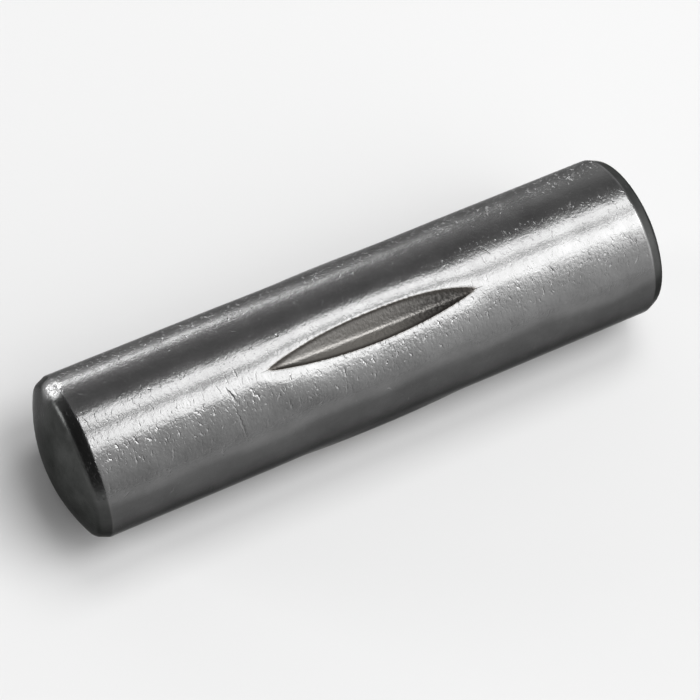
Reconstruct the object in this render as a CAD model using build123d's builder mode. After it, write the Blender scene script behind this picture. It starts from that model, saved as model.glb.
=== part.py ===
from build123d import *
from math import acos, cos, degrees, radians, sin, sqrt, tan
import os

# Grooved pin, 8 mm by 32 mm nominal, for a plain drilled hole.
# One piece of steel bar, with chamfered and crowned ends. Three V grooves are pressed
# lengthwise into its middle third, and the steel that they push aside stands up as a low
# rounded flank along each side of each groove. The flanks grip the hole, and the plain
# thirds at either end locate in it and carry the load.
#
# Millimetres. The pin's axis is X, with its middle at the origin, and +Z is up. It lies as
# it comes to rest on a table: rolled onto its plain arc, until a flank stops it.

# Shank
diameter = 8.0  # ground size of the plain thirds
length = 31.5  # over the two crowned ends
chamfer_length = 0.55  # along the pin
chamfer_depth = 0.24  # off the radius
crown_radius = 8.0  # of the domed end faces
crown_edge_radius = 0.5  # blend from the chamfer into the crown
pressed_length = 12.0  # the pressed middle third, whose land draws in a little
draw_in = 0.02  # off the radius at mid-length, so that the pin bears on its plain thirds

# Grooves
groove_count = 3
groove_length = 10.8  # tip to tip
groove_depth = 0.70  # from the plain surface to the rounded root, at mid-length
groove_angle = 90.0  # between the two walls of the V
groove_root_radius = 0.24

# Raised flanks, one along each side of each groove
flank_rise = 0.15  # of the crest above the plain surface, at mid-length
flank_round = 1.8  # radius of the flank's cross-section
flank_spread = 19.0  # degrees round the pin from groove to crest, at mid-length
flank_end_spread = 6.0  # the same beside the groove's tips, where the two flanks close in
flank_end_sink = 0.03  # how far the flank has dived under the surface by then

# Lie on the table
roll_clearance = 0.6  # degrees of free roll left before the flank touches the table

# Worked out from the sizes above
radius = diameter / 2
half_length = length / 2
half_groove = groove_length / 2
half_pressed = pressed_length / 2
half_angle = groove_angle / 2
land_radius = radius - draw_in
crown_rim = radius - chamfer_depth
crown_height = crown_radius - sqrt(crown_radius**2 - crown_rim**2)
rim_x = half_length - crown_height
shoulder_x = rim_x - chamfer_length
root_z = radius - groove_depth
wheel_radius = (half_groove**2 + groove_depth**2) / (2 * groove_depth)
flank_centre = radius + flank_rise - flank_round
flank_end_centre = radius - flank_end_sink - flank_round
stop_angle = flank_spread + degrees(acos((radius - flank_round) / flank_centre))
lowest_groove = 180 - (stop_angle + roll_clearance)
groove_turns = [lowest_groove + i * 360 / groove_count for i in range(groove_count)]
groove_places = [Location((0, 0, 0), (turn, 0, 0)) for turn in groove_turns]


# Shank: half of the lengthwise section, mirrored and turned round the axis.
with BuildPart() as shank:
    with BuildSketch(Plane.XZ):
        with BuildLine():
            Polyline((half_length, 0), (0, 0), (0, land_radius))
            Bezier((0, land_radius), (half_pressed / 2, land_radius), (half_pressed, radius))
            Polyline((half_pressed, radius), (shoulder_x, radius), (rim_x, crown_rim))
            RadiusArc((rim_x, crown_rim), (half_length, 0), crown_radius)
        section = make_face()
        crown_edge = section.vertices().sort_by_distance((rim_x, crown_rim, 0))[0]
        fillet(crown_edge, crown_edge_radius)
        mirror(about=Plane.YZ)
    revolve(axis=Axis.X)


# Flank bars of a groove that opens along +Z: two round bars on either side of it, each
# bowed along an arc, so that it stands proud at mid-length and dives under the surface
# beside the groove's tips.
def bar_centre(spread, distance):
    """Where a bar's centre line lies across the pin: out from the axis, off the groove."""
    return distance * sin(radians(spread)), distance * cos(radians(spread))


middle_y, middle_z = bar_centre(flank_spread, flank_centre)
end_y, end_z = bar_centre(flank_end_spread, flank_end_centre)

with BuildPart() as flank_bars:
    with BuildLine() as bar_line:
        ThreePointArc(
            (-half_groove, end_y, end_z), (0, middle_y, middle_z), (half_groove, end_y, end_z)
        )
    with BuildSketch(Plane(origin=bar_line.line @ 0, z_dir=bar_line.line % 0)):
        Circle(flank_round)
    sweep(path=bar_line.line)
    mirror(about=Plane.XZ)


# Groove wheel: the disc whose V rim, with a rounded edge, leaves a groove that opens along
# +Z. Its axis is crosswise, above the pin, so the groove runs out to a point at both ends.
root_drop = groove_root_radius * (1 / sin(radians(half_angle)) - 1)
apex_z = root_z - root_drop
rim_height = 2 * (groove_depth + flank_rise)
rim_half_width = rim_height * tan(radians(half_angle))
wheel_axis = Axis((0, 0, root_z + wheel_radius), (0, 1, 0))

with BuildPart() as groove_wheel:
    with BuildSketch(Plane.YZ):
        with BuildLine():
            Polyline(
                (0, apex_z),
                (rim_half_width, apex_z + rim_height),
                (-rim_half_width, apex_z + rim_height),
                close=True,
            )
        rim_section = make_face()
        apex = rim_section.vertices().sort_by(Axis.Y)[0]
        fillet(apex, groove_root_radius)
    revolve(axis=wheel_axis)


# The pin: the shank with its flanks raised and its grooves pressed in.
with BuildPart() as grooved_pin:
    add(shank)
    with Locations(*groove_places):
        add(flank_bars)
        add(groove_wheel, mode=Mode.SUBTRACT)


grooved_pin.part.label = "grooved_pin"
os.makedirs("parts", exist_ok=True)
export_step(grooved_pin.part, "parts/grooved_pin.step")
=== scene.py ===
from math import atan2, cos, hypot, pi, radians, sin, sqrt

import bpy
import numpy as np
from mathutils import Matrix, Quaternion, Vector


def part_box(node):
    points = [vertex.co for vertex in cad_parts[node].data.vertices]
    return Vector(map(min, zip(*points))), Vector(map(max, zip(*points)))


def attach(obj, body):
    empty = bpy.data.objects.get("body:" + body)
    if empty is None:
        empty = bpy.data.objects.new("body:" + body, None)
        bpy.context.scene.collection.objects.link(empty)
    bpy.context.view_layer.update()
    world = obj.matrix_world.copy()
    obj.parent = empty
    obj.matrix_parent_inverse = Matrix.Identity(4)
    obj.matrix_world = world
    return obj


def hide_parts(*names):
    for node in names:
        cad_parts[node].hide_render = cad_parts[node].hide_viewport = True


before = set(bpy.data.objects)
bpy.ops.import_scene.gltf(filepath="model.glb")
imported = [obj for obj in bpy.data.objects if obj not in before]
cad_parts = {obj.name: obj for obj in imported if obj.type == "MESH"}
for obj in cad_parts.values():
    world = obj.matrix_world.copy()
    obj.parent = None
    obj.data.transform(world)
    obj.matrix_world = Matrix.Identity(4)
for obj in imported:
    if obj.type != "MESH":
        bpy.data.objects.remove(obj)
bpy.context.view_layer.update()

# Grooved pin, 8 mm by 32 mm: a ground steel pin with three V grooves pressed lengthwise into
# its middle third. Sizes are in millimetres, and become metres as they enter a mesh. The
# pin's axis is X, +Z is up, and it lies on the floor on its plain thirds. Angles round the
# pin are in degrees from +Z towards -Y.
MM = 0.001

# Shank, as in the solid
RADIUS = 4.0
HALF_LENGTH = 15.75
CHAMFER_LENGTH = 0.55
CHAMFER_DEPTH = 0.24
CROWN_RADIUS = 8.0
HALF_PRESSED = 6.0
DRAW_IN = 0.02
CROWN_RIM = RADIUS - CHAMFER_DEPTH
CROWN_ARC = CROWN_RADIUS * np.arcsin(CROWN_RIM / CROWN_RADIUS)
CHAMFER_SLOPE = np.hypot(CHAMFER_LENGTH, CHAMFER_DEPTH)
RIM_X = HALF_LENGTH - CROWN_RADIUS + sqrt(CROWN_RADIUS**2 - CROWN_RIM**2)
SHOULDER_X = RIM_X - CHAMFER_LENGTH

# Grooves: a V of 90 degrees pressed in by a wheel, so that it runs out to a point at both
# ends. They lie where they do in the solid, and the last one is the one on top.
GROOVE_ANGLES = (139.82, 259.82, 19.82)
SECTOR = 60  # degrees from a groove's centre to halfway between two grooves
HALF_GROOVE = 5.4
GROOVE_DEPTH = 0.74  # to the rounded root at mid-length, a touch deeper than in the solid
ROOT_ROUND = 0.10  # how far the rounded root stands above the V's sharp one
ROOT_WORN = 0.05  # how much rounder it is in the groove's half towards -X
LIP_ROUND = 0.03  # how far the rounded lip lies below its sharp edge
LIP_WAVER = 0.014  # how far the ragged lip stands above or below its smooth line
LIP_BAND = 1.6  # degrees either side of the lip that are ragged
WALL_REACH = 40  # degrees from a groove's centre, past which the wall is left out
TIP_MARGIN = 0.6  # how far past the groove's tips the wall is still worked out
WHEEL_RADIUS = (HALF_GROOVE**2 + GROOVE_DEPTH**2) / (2 * GROOVE_DEPTH)

# The top groove, which the wheel entered at a slight slant
UPPER_SPREAD = 1.14  # how far its upper wall is stretched round the pin, which flattens it
UPPER_FLARE = 0.39  # how much further it is stretched towards +X
TOP_TURN = 1.1  # degrees that its root lies further round than in the solid
TOP_SKEW = 0.2  # degrees per millimetre that it turns round the pin

# Ground surface
UNEVEN = 0.002  # how far it lies inside the full radius, and how far it swells either way
UNEVEN_LENGTH = 3.5  # from crest to crest of its swells

# How far the steel beside a groove stands off the plain shank, at an angle in degrees from
# the groove's centre at mid-length: the lip is drawn down, and the crest stands further out.
# Beside the top groove the lower flank carries more steel than the upper.
FLANKS = {
    "upper": (
        (0, 9, 12, 16, 20, 25, 30, 40, 60),
        (-0.05, -0.035, -0.022, 0.000, 0.016, 0.026, 0.028, 0.016, 0.0),
    ),
    "lower": (
        (0, 8, 12, 16, 20, 24, 28, 33, 38, 44, 50, 55, 60),
        (-0.14, -0.11, -0.07, -0.027, 0.018, 0.057, 0.082,
         0.096, 0.096, 0.078, 0.042, 0.012, 0.0),
    ),
    "even": (
        (0, 11, 15, 19, 23, 27, 31, 36, 45),
        (0.05, 0.09, 0.13, 0.145, 0.136, 0.105, 0.06, 0.018, 0.0),
    ),
}


def linear(code):
    """An sRGB hex colour as the linear RGBA that a shader socket takes."""
    rgb = np.array([int(code[i : i + 2], 16) for i in (1, 3, 5)]) / 255
    low, high = rgb / 12.92, ((rgb + 0.055) / 1.055) ** 2.4
    return (*np.where(rgb <= 0.04045, low, high).tolist(), 1.0)


def add_node(tree, kind, inputs=(), **settings):
    """Adds a node, sets its own settings, then fills its inputs, given by name or in order. A
    value is set on the socket; a socket, or a node by its first output in use, is linked."""
    node = tree.nodes.new(kind)
    for name, value in settings.items():
        setattr(node, name, value)
    open_sockets = [socket for socket in node.inputs if socket.enabled]
    if isinstance(inputs, dict):
        named = {socket.name: socket for socket in reversed(open_sockets)}
        pairs = [(named[name], value) for name, value in inputs.items()]
    else:
        pairs = list(zip(open_sockets, inputs))
    for socket, value in pairs:
        if isinstance(value, bpy.types.Node):
            value = next(output for output in value.outputs if output.enabled)
        if isinstance(value, bpy.types.NodeSocket):
            tree.links.new(value, socket)
        else:
            socket.default_value = value
    return node


def smooth_step(low, high, value):
    """0 below low, 1 above high, and a smooth S between them: t squared times 3 less 2t.
    Where low is the larger, the step falls instead of rising."""
    t = np.clip((value - low) / (high - low), 0, 1)
    return t * t * (3 - 2 * t)


def waves(points, length, seed):
    """Smooth repeatable unevenness between about -1 and 1: a fifth of the sum of twelve sine
    waves in random directions, each about the given length from crest to crest."""
    draw = np.random.default_rng(seed)
    ways = draw.normal(size=(12, points.shape[-1]))
    ways *= 2 * pi / length / np.linalg.norm(ways, axis=1, keepdims=True)
    ways *= draw.uniform(0.6, 1.5, size=(12, 1))
    return np.sin(points @ ways.T + draw.uniform(0, 2 * pi, 12)).sum(-1) / 5


# ---------------------------------------------------------------------------------------
# The pin's surface
# ---------------------------------------------------------------------------------------


def sharp_outline(s):
    """The end's outline with sharp corners, at distance s along it from the pole: an arc of
    the crown's radius, the chamfer's straight slope, then a line along the shank. Returns
    how far each point lies along the pin and out from its axis."""
    turn = s / CROWN_RADIUS
    on_crown = np.abs(s) <= CROWN_ARC
    down = np.clip((s - CROWN_ARC) / CHAMFER_SLOPE, 0, 1)
    beyond = np.maximum(s - CROWN_ARC - CHAMFER_SLOPE, 0)
    crown_x = HALF_LENGTH - CROWN_RADIUS * (1 - np.cos(turn))
    x = np.where(on_crown, crown_x, RIM_X - CHAMFER_LENGTH * down - beyond)
    r = np.where(on_crown, CROWN_RADIUS * np.sin(turn), CROWN_RIM + CHAMFER_DEPTH * down)
    return x, r


def rounded_outline(s):
    """The same outline with its corners rounded: each point is the mean of the sharp outline
    over a short window, 0.17 mm either way up to the crown's edge and 0.06 mm beyond it."""
    window = 0.17 - 0.11 * smooth_step(CROWN_ARC + 0.15, CROWN_ARC + 0.5, s)
    x, r = sharp_outline(s + np.linspace(-1, 1, 15)[:, None] * window)
    return x.mean(0), r.mean(0)


def lengthwise_rows():
    """How far each ring of the mesh lies along the pin and out from its axis. Rings are
    closest round the crown's edge and the shoulder, and even along the shank, which draws in
    along a parabola over its pressed third. Each run of rings is given by where it starts
    and ends, and by their number."""
    shoulder = CROWN_ARC + CHAMFER_SLOPE
    pole_gap, shank_gap, shank_rings = 0.12, 0.07, 366
    end = np.concatenate(
        [
            np.linspace(pole_gap, CROWN_ARC - 0.35, 18),
            np.linspace(CROWN_ARC - 0.3, CROWN_ARC + 0.3, 12),
            np.linspace(shoulder - 0.2, shoulder + 0.12, 9),
        ]
    )
    end_x, end_r = rounded_outline(end)
    start = end_x[-1] - shank_gap
    shank_x = np.linspace(start, -start, shank_rings)
    shank_r = RADIUS - DRAW_IN * np.clip(1 - (shank_x / HALF_PRESSED) ** 2, 0, 1)
    x = np.concatenate([end_x, shank_x, -end_x[::-1]])
    return x, np.concatenate([end_r, shank_r, end_r[::-1]])


def flank_height(side, angle):
    """The flank's height at an angle from the groove's centre: the side's points, joined and
    then smoothed over three degrees either way."""
    even = np.linspace(-10, 100, 881)
    joined = np.interp(np.abs(even), *FLANKS[side])
    window = np.hanning(49)
    smooth = np.convolve(joined, window / window.sum(), "same")
    return np.interp(angle, even, smooth)


def groove_apex(x):
    """Height of the V's sharp root above the pin's axis, at a distance x from mid-length:
    the wheel's rim is an arc, so the root rises towards both tips."""
    rim = WHEEL_RADIUS + ROOT_ROUND
    return RADIUS - GROOVE_DEPTH + WHEEL_RADIUS - np.sqrt(rim**2 - x**2)


def lip_angle(apex, radius):
    """Angle from the groove's centre to where its sloping side, at 45 degrees, leaves a
    surface of the given radius."""
    return np.degrees(np.arccos(np.clip(apex / (sqrt(2) * radius), -1, 1))) - 45


def groove_wall(apex, angle, root_round):
    """Distance from the pin's axis out to the groove's wall: the V's two straight sides,
    joined by a hyperbola at the root, solved for the radius at that angle."""
    lift = np.cos(np.radians(angle)) * apex
    double = np.cos(np.radians(2 * angle))
    return (lift + np.sqrt(lift**2 - double * (apex**2 - root_round**2))) / double


def groove_side(side, x, shank, waver, spread):
    """Half the sector round one groove, from its centre outwards: the angles of the columns
    in each row, the radius of the surface there, and how deep the wall lies under it. The
    columns follow the groove's lip, close beside it, and draw together towards its tips. The
    flank shrinks with the groove's width, and its lip wavers. Spread, given for each row,
    flattens the wall by stretching its angles. The surface is the lower of flank and wall,
    with the lip between them rounded: half of their sum, less half the square root of their
    gap squared plus LIP_ROUND squared."""
    # Columns: shares of the way from the centre to the lip, and from there to the far edge
    inside = np.array([0, 0.12, 0.24, 0.36, 0.48, 0.6, 0.72, 0.82, 0.9, 0.96, 1.0])
    outside = np.array([0.2, 0.5, 0.9, 1.5, 2.3, 3.3, 4.5, 5.9, 7.5, 9.3, 11.3, 13.4])
    outside = np.concatenate([outside, np.linspace(15.8, 49.3, 13)]) / 49.3

    # How wide the groove is in each row, as a share of its width at mid-length. The flanks
    # close in with it, though never to less than 0.3 of their spread.
    wall_end = HALF_GROOVE + TIP_MARGIN
    apex = groove_apex(np.clip(x, -wall_end, wall_end))
    share = np.clip(lip_angle(apex, RADIUS) / lip_angle(groove_apex(0), RADIUS), 0, 1)
    squeeze = 0.3 + 0.7 * share

    # Where the lip lies depends on the flank's height there, so the two are settled in turn
    lip = spread * lip_angle(apex, shank)
    for _ in range(3):
        rise = share * flank_height(side, lip / squeeze)
        lip = spread * lip_angle(apex, shank + rise)
    narrowest = 1.2
    lip = np.maximum(lip, narrowest)[:, None]
    angle = np.concatenate([lip * inside, lip + (SECTOR - lip) * outside], axis=1)

    flank = share[:, None] * flank_height(side, angle / squeeze[:, None])
    ragged = (share * waver)[:, None] * np.exp(-(((angle - lip) / LIP_BAND) ** 2))
    surface = shank[:, None] + flank + ragged
    root = ROOT_ROUND + ROOT_WORN * smooth_step(0, -2, x) * smooth_step(-5.2, -3.6, x)
    in_wall = np.minimum(angle, WALL_REACH) / spread[:, None]
    wall = groove_wall(apex[:, None], in_wall, root[:, None])
    near = (angle < WALL_REACH) & (np.abs(x)[:, None] < wall_end)
    wall = np.where(near, wall, 2 * RADIUS)
    gap = surface - wall
    lower = 0.5 * (surface + wall - np.sqrt(gap**2 + LIP_ROUND**2))
    well_outside = gap < -0.4
    return angle, np.where(well_outside, surface, lower), gap


def pin_surface():
    """The pin as a grid of rings from pole to pole, each of three sectors round its grooves,
    with a slight unevenness from grinding and tumbling. Gives every point's place, and how
    deep a groove's wall lies there."""
    x, shank = lengthwise_rows()
    angles, radii, depths = [], [], []
    for number, centre in enumerate(GROOVE_ANGLES):
        on_top = centre == GROOVE_ANGLES[-1]
        halves = []
        for side, way in (("upper", -1), ("lower", 1)):
            waver = LIP_WAVER * waves(x[:, None], 0.3, 10 * number + way + 1)
            spread = np.ones(len(x))
            if on_top and side == "upper":
                spread = UPPER_SPREAD + UPPER_FLARE * smooth_step(-1, 7, x)
            halves.append(groove_side(side if on_top else "even", x, shank, waver, spread))
        offset, radius, depth = [
            np.concatenate([sign * upper[:, :0:-1], lower[:, :-1]], 1)
            for sign, upper, lower in zip((-1, 1, 1), *halves)
        ]
        skew = TOP_TURN + TOP_SKEW * np.clip(x, -HALF_PRESSED, HALF_PRESSED)
        near = smooth_step(SECTOR, 15, np.abs(offset)) if on_top else 0
        angles.append(centre + offset + skew[:, None] * near)
        radii.append(radius)
        depths.append(depth)
    angle, radius = np.radians(np.concatenate(angles, 1)), np.concatenate(radii, 1)
    along = np.broadcast_to(x[:, None], angle.shape)

    def placed(radius):
        """Every point's place: x, minus radius sin angle, and radius cos angle."""
        return np.stack([along, -radius * np.sin(angle), radius * np.cos(angle)], -1)

    ground = radius > RADIUS - 0.3  # and not deep in a groove
    swell = UNEVEN * waves(placed(radius), UNEVEN_LENGTH, 5) - UNEVEN
    return placed(radius + np.where(ground, swell, 0)), np.concatenate(depths, 1)


def ring_mesh(name, place, poles):
    """A mesh from a grid of rings, each closed round on itself. A fan joins the first ring to
    the first pole, and another joins the last ring to the second pole, where there is one.
    Faces point outwards where the rings run from +X to -X and turn from +Z towards -Y, and
    upwards on a flat sheet whose rings run out from its pole."""
    rows, columns = place.shape[:2]
    ring = np.arange(rows * columns).reshape(rows, columns)
    beside = np.roll(ring, -1, axis=1)
    quads = np.stack([ring[:-1], ring[1:], beside[1:], beside[:-1]], -1).reshape(-1, 4)
    faces = quads.tolist()
    edges = ((ring[0], beside[0]), (beside[-1], ring[-1]))
    for number, edge in enumerate(edges[: len(poles)], start=rows * columns):
        faces += np.stack([np.full(columns, number), *edge], -1).tolist()
    made = bpy.data.meshes.new(name)
    made.from_pydata(np.concatenate([place.reshape(-1, 3), poles]).tolist(), [], faces)
    made.polygons.foreach_set("use_smooth", np.ones(len(made.polygons), bool))
    return made


def lay_map(mesh):
    """A UV map in millimetres: along the pin, and round it. Its seam runs along the hidden
    underside, and a face that crosses the seam has its corners moved to the same side. A
    crowned end is laid flat instead, clear of the rest, so that no pattern pinches there."""
    corner = np.empty(len(mesh.loops), np.int32)
    mesh.loops.foreach_get("vertex_index", corner)
    spot = np.empty(len(mesh.vertices) * 3)
    mesh.vertices.foreach_get("co", spot)
    x, y, z = spot.reshape(-1, 3)[corner].T / MM
    sides = np.empty(len(mesh.polygons), np.int32)
    mesh.polygons.foreach_get("loop_total", sides)
    face = np.repeat(np.arange(len(sides)), sides)

    def highest(values):
        """For each corner, the highest value among the corners of its face."""
        top = np.full(len(sides), -np.inf)
        np.maximum.at(top, face, values)
        return top[face]

    turn = np.arctan2(-y, z)
    near_seam = 2.5  # radians round the pin, where the seam is at pi
    crosses = (highest(turn) > near_seam) & (turn < -near_seam)
    turn = np.where(crosses, turn + 2 * pi, turn)
    crown_edge = CROWN_RIM - 0.15
    crowned = (highest(np.hypot(y, z)) < crown_edge) & (np.abs(x) > SHOULDER_X)
    flat_middle = 40 * np.sign(x)  # mm, well past the shank's own ends
    u, v = np.where(crowned, flat_middle + y, x), np.where(crowned, z, turn * RADIUS)
    mesh.uv_layers.new(name="lay").data.foreach_set("uv", np.stack([u, v], -1).ravel())


place, gap = pin_surface()
poles = np.array([(HALF_LENGTH, 0, 0), (-HALF_LENGTH, 0, 0)])
mesh = ring_mesh("grooved_pin_ground", place * MM, poles * MM)
lay_map(mesh)

# Where the pin has knocked against others the most: the middle of each scuffed patch, in mm
# along the pin and degrees round it, how far the patch reaches each way, and how deep its
# nicks are.
SCUFFS = (
    (9.5, 37, 7.0, 11, 1.0),
    (0.0, 42, 6.0, 10, 1.0),
    (-9.5, 35, 7.0, 10, 1.0),
    (-8.0, -47, 10.0, 13, 1.9),
    (-8.0, -33, 9.0, 5, 1.2),
    (9.0, -48, 8.0, 19, 1.9),
    (0.5, -48, 6.0, 14, 1.9),
    (10.0, -7, 7.0, 4, 1.0),
    (2.0, 140, 16.0, 25, 1.2),
    (-4.0, -120, 14.0, 25, 1.2),
)

# The corner that took a hard knock, given in the same way
KNOCK = (-14.5, -35, 0.45, 13)


def patch_distance(x, around, middle, bearing, length, width):
    """How far a point lies from the middle of an oval patch, where 1 is the patch's edge."""
    across = (around - bearing + 180) % 360 - 180
    return np.hypot((x - middle) / length, across / width)


def finish_layers(place, gap):
    """What the finish reads at each point of the pin, from its place in mm and from how deep
    a groove's wall lies there. Each layer is 0 where it has no part and 1 where it is full,
    apart from scuffed, which tells how deep the nicks are."""
    x, y, z = place[..., 0], place[..., 1], place[..., 2]
    along, out = np.abs(x), np.hypot(y, z)
    around = np.degrees(np.arctan2(-y, z))

    # Ends: turned and never ground, apart from a lighter patch high on the -X crown, a painted
    # highlight
    on_end = along > SHOULDER_X
    crown = smooth_step(CROWN_RIM + 0.03, CROWN_RIM - 0.25, out) * on_end
    crown_highlight_patch = smooth_step(2.6, 0.8, np.hypot(y - 2.9, z - 2.0)) * crown * (x < 0)
    # The turned ends take a dark skin, partly their own and partly painted shade
    turned = 0.8 * smooth_step(SHOULDER_X - 0.02, SHOULDER_X + 0.05, along)
    turned += 0.2 * smooth_step(CROWN_RIM + 0.03, CROWN_RIM - 0.06, out) * on_end
    turned -= 0.7 * crown_highlight_patch

    # The edge between ground shank and turned chamfer: lighter in broken stretches, partly wear
    # and partly a painted highlight kept mostly to the upper side, and lighter all over the
    # knocked corner, bare metal with a painted highlight
    wear_and_highlight = np.clip(1 - np.abs(along - SHOULDER_X) / 0.08, 0, 1)
    wear_and_highlight *= 0.08 + 0.92 * smooth_step(62, 22, np.abs(around - 5))
    wear_and_highlight *= 0.3 + 0.7 * smooth_step(-0.6, 0.3, waves(place, 2.2, 8))
    wear_and_highlight = np.maximum(wear_and_highlight, smooth_step(1.2, 0.7, patch_distance(x, around, *KNOCK)))

    # Nicks: shallow outside the scuffed patches, and shallowest in the grooves
    scuffed = np.full(out.shape, 0.3)
    for *patch, depth in SCUFFS:
        inside = smooth_step(1.3, 0.7, patch_distance(x, around, *patch))
        scuffed = np.maximum(scuffed, depth * inside)
    scuffed += (0.45 - scuffed) * crown

    # Grooves: pressed steel, with painted shade towards both tips, most towards +X, and just
    # under the lip
    pressed = smooth_step(-0.02, 0.03, gap)
    groove_tip_shade = smooth_step(0.5, 5.0, x) + 0.5 * smooth_step(-3.6, -5.4, x)
    # Painted shade: a dark band on the wall just under the lip
    lip = smooth_step(-0.01, 0.03, gap) * smooth_step(0.2, 0.07, gap)

    # Painted shade: the lower part of the shank is darkened, with an uneven edge above
    # mid-height
    underside_shade = smooth_step(1.95, 1.35, z + 0.25 * waves(place, 4.0, 9))
    return {
        "pressed": pressed,
        "groove_tip_shade": groove_tip_shade * pressed,
        "lip": lip,
        "turned": turned,
        "wear_and_highlight": wear_and_highlight,
        "scuffed": scuffed * (1 - 0.6 * pressed),
        "underside_shade": underside_shade * (1 - crown) * (1 - pressed),
    }


for name, values in finish_layers(place, gap).items():
    layer = mesh.attributes.new(name, "FLOAT", "POINT")
    layer.data.foreach_set("value", np.append(values.ravel(), [values[0, 0], values[-1, 0]]))

pin = bpy.data.objects.new("grooved_pin_ground", mesh)
bpy.context.scene.collection.objects.link(pin)


# ---------------------------------------------------------------------------------------
# The finish
# ---------------------------------------------------------------------------------------


def ellipse(tree, offset, angle, reach):
    """The depth of one dent at an offset from its middle: the offset is turned by the angle
    and divided by the dent's reach each way, and the depth falls smoothly from 1 where that
    is 0 long to 0 where it is 1 long, at the dent's edge."""
    leaning = add_node(
        tree,
        "ShaderNodeVectorRotate",
        {"Vector": offset, "Angle": angle},
        rotation_type="Z_AXIS",
    )
    ratio = add_node(tree, "ShaderNodeVectorMath", [leaning, reach], operation="DIVIDE")
    distance = add_node(tree, "ShaderNodeVectorMath", [ratio], operation="LENGTH")
    return add_node(
        tree,
        "ShaderNodeMapRange",
        {"Value": distance.outputs["Value"], "From Min": 1.0, "From Max": 0.0},
        interpolation_type="SMOOTHSTEP",
    )


def dents(tree, lay, spacing, half_length, half_width, lean, share):
    """A layer of small dents, one to a cell of the given spacing in mm. Each is an ellipse
    that lies round the pin, leaning by a random angle of up to lean radians and shortened by
    a random amount, and only a share of the cells have one. The lay is shifted by some cells,
    so that layers of different spacing don't line up about its origin. Gives the depth, from
    0 to 1."""
    shifted = add_node(tree, "ShaderNodeVectorMath", [lay, (spacing * 7, spacing * 3, 0)])
    cell = add_node(
        tree,
        "ShaderNodeTexVoronoi",
        {"Vector": shifted, "Scale": 1 / spacing},
        voronoi_dimensions="2D",
    )
    offset = add_node(
        tree,
        "ShaderNodeVectorMath",
        [shifted, cell.outputs["Position"]],
        operation="SUBTRACT",
    )
    chance = add_node(tree, "ShaderNodeSeparateColor", [cell.outputs["Color"]])
    angle = add_node(
        tree,
        "ShaderNodeMapRange",
        {"Value": chance.outputs["Red"], "To Min": -lean, "To Max": lean},
    )
    length = add_node(
        tree,
        "ShaderNodeMapRange",
        {"Value": chance.outputs["Green"], "To Min": half_length / 4, "To Max": half_length},
    )
    reach = add_node(tree, "ShaderNodeCombineXYZ", [half_width, length, 1.0])
    present = add_node(
        tree, "ShaderNodeMath", [chance.outputs["Blue"], share], operation="LESS_THAN"
    )
    depth = ellipse(tree, offset, angle, reach)
    return add_node(tree, "ShaderNodeMath", [depth, present], operation="MULTIPLY")


def stroke(tree, lay, start, end, half_width):
    """A single scratch between two points of the lay, in mm along and round the pin: a thin
    ellipse from one to the other. Gives the depth, from 0 to 1."""
    middle = ((start[0] + end[0]) / 2, (start[1] + end[1]) / 2, 0)
    half_length = hypot(end[0] - start[0], end[1] - start[1]) / 2
    lean = atan2(end[0] - start[0], end[1] - start[1])
    offset = add_node(tree, "ShaderNodeVectorMath", [lay, middle], operation="SUBTRACT")
    return ellipse(tree, offset, lean, (half_width, half_length, 1))


def total(tree, layers, start=0.0):
    """A start value plus some layers, each given with what it adds where it is full."""
    result = start
    for layer, rise in layers:
        result = add_node(
            tree, "ShaderNodeMath", [layer, rise, result], operation="MULTIPLY_ADD"
        )
    return result


# Patterns over the lay: how many of their waves go to a millimetre along and round the pin,
# and the noise's detail and roughness
PATTERNS = {
    "patches": (0.5, 0.5, 6.0, 0.75),  # clouds of 2 mm, broken up into a fine mottle
    "hollows": (1.3, 1.3, 3.0, 0.6),  # shallow dips of 0.8 mm
    "grain": (7.0, 7.0, 2.0, 0.5),  # 0.14 mm
    "round_lines": (7.0, 0.8, 2.0, 0.5),  # 0.14 mm apart, as the grinding wheel leaves them
    "long_lines": (0.2, 5.0, 2.0, 0.5),  # 0.2 mm apart, from sliding lengthwise
}

# Nicks from knocks against other pins, mostly across the pin, in four sizes: the spacing,
# half length and half width in mm, the lean, the share of cells, and the height
NICKS = (
    (0.24, 0.12, 0.035, 0.8, 0.7, -0.006),
    (0.38, 0.25, 0.05, 0.5, 0.7, -0.010),
    (0.75, 0.36, 0.065, 0.6, 0.7, -0.016),
    (1.9, 0.55, 0.08, 0.9, 0.6, -0.026),
)

# Scratches that stand out, from one point of the lay to another, with half width and height
# in mm. The last is the dent of the knocked corner.
SCRATCHES = (
    ((-7.45, 1.35), (-7.15, 2.45), 0.10, -0.02),
    ((-7.35, 2.2), (-7.2, 4.4), 0.07, -0.012),
    ((-9.3, 6.2), (-9.1, 6.9), 0.08, -0.02),
    ((-14.5, -1.2), (-14.45, -2.8), 0.45, -0.05),
)


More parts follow.
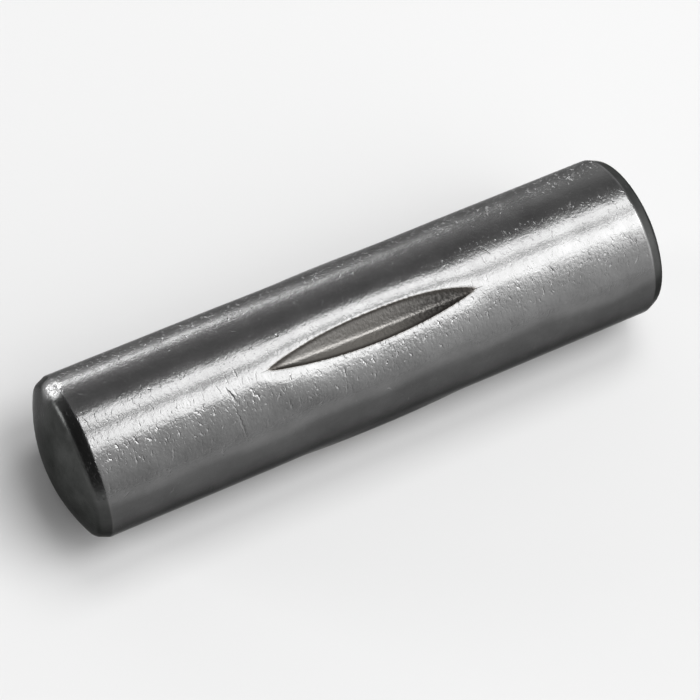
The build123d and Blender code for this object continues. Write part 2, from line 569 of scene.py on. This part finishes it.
def ground_steel():
    """Free-cutting steel, centreless ground and then tumbled: a smooth metal of middle grey
    that mirrors softly, with a lay of fine lines round the pin and small dents from its
    neighbours in the tub. The grooves are torn, dull and a little warm, as the press leaves
    them, and carry painted shade towards their tips and under their lips. The turned ends are
    dark, partly their own skin and partly painted shade, and painted shade darkens the
    underside. Real grinding lines are some 0.02 mm apart and most nicks under 0.1 mm long,
    too fine to show, so both are drawn several times coarser."""
    material = bpy.data.materials.new("ground_free_cutting_steel")
    material.use_nodes = True
    tree = material.node_tree
    shader = tree.nodes["Principled BSDF"]
    shader.inputs["Metallic"].default_value = 1.0
    # Rough ground steel brightens less towards a glancing angle than a clean mirror does
    shader.inputs["Specular Tint"].default_value = linear("#a0a0a0")

    lay = add_node(tree, "ShaderNodeUVMap", uv_map="lay").outputs["UV"]
    pressed, groove_tip_shade, lip, turned, wear_and_highlight, scuffed, underside_shade = [
        add_node(tree, "ShaderNodeAttribute", attribute_name=name).outputs["Fac"]
        for name in ("pressed", "groove_tip_shade", "lip", "turned", "wear_and_highlight", "scuffed", "underside_shade")
    ]
    pattern = {}
    for name, (along, around, detail, roughness) in PATTERNS.items():
        scaled = add_node(
            tree, "ShaderNodeMapping", {"Vector": lay, "Scale": (along, around, 1)}
        )
        pattern[name] = add_node(
            tree,
            "ShaderNodeTexNoise",
            {"Vector": scaled, "Scale": 1.0, "Detail": detail, "Roughness": roughness},
            noise_dimensions="2D",
        ).outputs["Fac"]

    # Nicks and bruises, on the lay with every point moved by up to 0.16 mm to make them ragged
    ragged = add_node(
        tree,
        "ShaderNodeTexNoise",
        {"Vector": lay, "Scale": 6.0, "Detail": 2.0},
        noise_dimensions="2D",
    ).outputs["Color"]
    bent = add_node(
        tree, "ShaderNodeVectorMath", [ragged, (0.16, 0.16, 0), lay], operation="MULTIPLY_ADD"
    ).outputs["Vector"]
    nicks = [(dents(tree, bent, *size), height) for *size, height in NICKS]
    nicked = add_node(
        tree, "ShaderNodeMath", [total(tree, nicks), scuffed], operation="MULTIPLY"
    )
    bruised = add_node(
        tree, "ShaderNodeMapRange", {"Value": nicked, "From Min": -0.003, "From Max": -0.015}
    )

    # Dark skin of the turned ends, in blotches of about 2 mm, partly their own skin and partly
    # painted shade
    blotches = add_node(
        tree,
        "ShaderNodeTexNoise",
        {
            "Vector": add_node(tree, "ShaderNodeTexCoord").outputs["Object"],
            "Scale": 0.45 / MM,
            "Detail": 3.0,
            "Roughness": 0.6,
        },
    ).outputs["Fac"]
    contrast = add_node(
        tree, "ShaderNodeMapRange", {"Value": blotches, "From Min": 0.28, "From Max": 0.72}
    )
    skin = add_node(
        tree,
        "ShaderNodeMix",
        [contrast, linear("#3a3b3a"), linear("#585958")],
        data_type="RGBA",
    )

    # Painted shade towards the grooves' tips, broken up by the grain
    specks = add_node(
        tree,
        "ShaderNodeMapRange",
        {
            "Value": pattern["grain"],
            "From Min": 0.38,
            "From Max": 0.62,
            "To Min": 0.5,
            "To Max": 1.4,
        },
    )
    shaded_groove_tips = add_node(tree, "ShaderNodeMath", [groove_tip_shade, specks], operation="MULTIPLY")

    # Colour: the ground steel's faint mottle, covered in turn by each thing that changes it
    colour = add_node(
        tree,
        "ShaderNodeMix",
        [pattern["patches"], linear("#5f5f5f"), linear("#808080")],
        data_type="RGBA",
    )
    for share, cover in (
        (bruised, linear("#9c9c9c")),  # bare metal in the deeper nicks
        (pressed, linear("#898784")),  # the grooves' walls
        (shaded_groove_tips, linear("#565452")),  # painted shade towards their tips
        (lip, linear("#4e4b48")),  # and painted shade just under their lips
        (turned, skin),
    ):
        colour = add_node(tree, "ShaderNodeMix", [share, colour, cover], data_type="RGBA")
    # Painted shade: the lower part of the shank is darkened to about two thirds
    with_underside_shade = add_node(
        tree,
        "ShaderNodeMix",
        [underside_shade, colour, linear("#d0d0d0")],
        data_type="RGBA",
        blend_type="MULTIPLY",
    )
    # Lighter on the shoulder's edge and the knocked corner: wear, and a painted highlight
    finished = add_node(
        tree, "ShaderNodeMix", [wear_and_highlight, with_underside_shade, linear("#969696")], data_type="RGBA"
    )
    tree.links.new(finished.outputs[2], shader.inputs["Base Color"])

    # Roughness: duller in the grooves and on the ends, smoother on worn edges
    sheen = add_node(
        tree,
        "ShaderNodeMapRange",
        {"Value": pattern["patches"], "To Min": 0.19, "To Max": 0.27},
    )
    roughness = total(tree, [(pressed, 0.2), (wear_and_highlight, -0.1), (turned, 0.12)], sheen)
    tree.links.new(roughness.outputs[0], shader.inputs["Roughness"])

    # Relief: grain that is deeper where the pin is scuffed or pressed, lines, dips and nicks,
    # each with how many mm it stands up where it is full
    pitted, torn, dragged = [
        add_node(tree, "ShaderNodeMath", [pattern[name], where], operation="MULTIPLY")
        for name, where in (("grain", scuffed), ("grain", pressed), ("round_lines", pressed))
    ]
    relief = [
        (pattern["grain"], 0.002),
        (pitted, 0.006),
        (dragged, 0.004),
        (torn, 0.024),
        (pattern["round_lines"], 0.003),
        (pattern["long_lines"], 0.002),
        (pattern["hollows"], 0.010),
        (nicked, 1.0),
    ]
    relief += [(stroke(tree, bent, *ends), height) for *ends, height in SCRATCHES]
    bump = add_node(
        tree, "ShaderNodeBump", {"Height": total(tree, relief), "Distance": MM, "Strength": 1.0}
    )
    tree.links.new(bump.outputs["Normal"], shader.inputs["Normal"])
    return material


mesh.materials.append(ground_steel())
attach(pin, "root")
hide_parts("grooved_pin")


# ---------------------------------------------------------------------------------------
# Floor, light and camera
# ---------------------------------------------------------------------------------------


def floor_sheet(height, reach):
    """A flat round sheet: rings about a pole, whose radius grows with the square of their
    number, from a 144th of the reach out to all of it."""
    rings, spokes = 12, 72
    out = reach * (np.arange(1, rings + 1)[:, None] / rings) ** 2
    turn = np.linspace(0, 2 * pi, spokes, endpoint=False)
    x, y = out * np.cos(turn), out * np.sin(turn)
    place = np.stack([x, y, np.full_like(x, height)], -1)
    return ring_mesh("floor", place, np.array([(0, 0, height)]))


def studio_paper():
    """Matte white paper, as it hangs in a studio: it scatters light evenly, with no shine."""
    material = bpy.data.materials.new("matte_studio_paper")
    material.use_nodes = True
    shader = material.node_tree.nodes["Principled BSDF"]
    shader.inputs["Base Color"].default_value = linear("#e3e3e3")
    shader.inputs["Roughness"].default_value = 1.0
    shader.inputs["Specular IOR Level"].default_value = 0.0
    return material


floor_reach = 1.5
floor_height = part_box("grooved_pin")[0].z
floor = bpy.data.objects.new("floor", floor_sheet(floor_height, floor_reach))
floor.data.materials.append(studio_paper())
bpy.context.scene.collection.objects.link(floor)


def soft_lamp(name, bearing, distance, drift, size, level):
    """A rectangular soft lamp that faces the pin. It stands in the plane across the pin, a
    distance off in metres, at bearing degrees round from the -Y horizon over the top, and is
    then moved along X by drift times that distance. Its size is along and across the pin.
    Level is the brightness of its face, where 1 is white: its power is level times pi times
    its area."""
    light = bpy.data.lights.new(name, "AREA")
    light.shape = "RECTANGLE"
    light.size, light.size_y = size
    light.energy = level * pi * size[0] * size[1]
    lamp = bpy.data.objects.new(name, light)
    bpy.context.scene.collection.objects.link(lamp)
    turn = radians(bearing)
    lamp.location = Vector((drift, -cos(turn), sin(turn))) * distance
    facing = lamp.location.normalized()
    along = (Vector((1, 0, 0)) - facing * facing.x).normalized()
    axes = Matrix((along, facing.cross(along), facing)).transposed()
    lamp.rotation_mode = "QUATERNION"
    lamp.rotation_quaternion = axes.to_quaternion()
    lamp.visible_camera = False


soft_lamp("lamp_behind_top", 103.5, 0.45, 0.31, (0.24, 0.155), 5.8)
soft_lamp("lamp_front_top", 75, 0.45, 0.40, (0.32, 0.19), 5.4)
soft_lamp("lamp_front_right", 54, 0.45, 0.55, (0.14, 0.13), 2.2)
soft_lamp("lamp_low_strip", 178, 0.5, -0.12, (0.41, 0.10), 8.0)
soft_lamp("lamp_back_left", 161, 0.45, -1.3, (0.24, 0.22), 8.0)

world = bpy.data.worlds.new("studio")
world.use_nodes = True
bpy.context.scene.world = world


def studio_walls(tree):
    """The room round the lamps: mid grey behind, brighter in front and to the right, dimmer
    overhead, and with a dark screen to the left, in front of a pale wall. Each fade is given
    by what it follows, where it starts and ends, and the levels there."""
    background = tree.nodes["Background"]
    background.inputs["Color"].default_value = (1, 1, 1, 1)
    heading = add_node(tree, "ShaderNodeTexCoord").outputs["Generated"]
    x, y, z = add_node(tree, "ShaderNodeSeparateXYZ", [heading]).outputs
    behind, rightward, ahead, side, overhead, left, far_left = [
        add_node(tree, "ShaderNodeMapRange", fade, interpolation_type="SMOOTHSTEP")
        for fade in (
            (z, 0.1, 0.65, 0.8, 0.3),
            (x, 0.05, 0.5, 0.55, 1.4),
            (z, 0.1, 0.7, 0.0, 0.4),
            (y, 0.2, -0.3, 0.0, 1.0),
            (z, 0.8, 0.95, 1.0, 0.5),
            (x, -0.32, -0.12, 0.03, 1.0),
            (x, -0.8, -0.95, 0.0, 0.5),
        )
    ]
    before = add_node(tree, "ShaderNodeMath", [rightward, ahead])
    round_about = add_node(tree, "ShaderNodeMix", [side, behind, before], data_type="FLOAT")
    shade = add_node(tree, "ShaderNodeMath", [overhead, left], operation="MULTIPLY")
    level = add_node(
        tree, "ShaderNodeMath", [round_about, shade, far_left], operation="MULTIPLY_ADD"
    )
    tree.links.new(level.outputs[0], background.inputs["Strength"])


studio_walls(world.node_tree)

# Camera: it looks at a point near the pin's middle, from this far off, at angles in degrees
# round from -Y towards +X and up from the floor, and is rolled anticlockwise.
aim = Vector((-0.242, -0.187, -0.161)) * MM
distance = 125.68 * MM
azimuth, elevation, roll = radians(-34.704), radians(61.047), radians(8.879)
camera = bpy.data.objects.new("camera", bpy.data.cameras.new("camera"))
camera.data.lens = 136.3
camera.data.sensor_width = 36
camera.data.clip_start, camera.data.clip_end = 0.005, 10
back = Vector((sin(azimuth) * cos(elevation), -cos(azimuth) * cos(elevation), sin(elevation)))
camera.location = aim + back * distance
camera.rotation_mode = "QUATERNION"
camera.rotation_quaternion = (-back).to_track_quat("-Z", "Y") @ Quaternion((0, 0, 1), roll)
bpy.context.scene.collection.objects.link(camera)
bpy.context.scene.camera = camera
bpy.context.scene.view_settings.view_transform = "Standard"
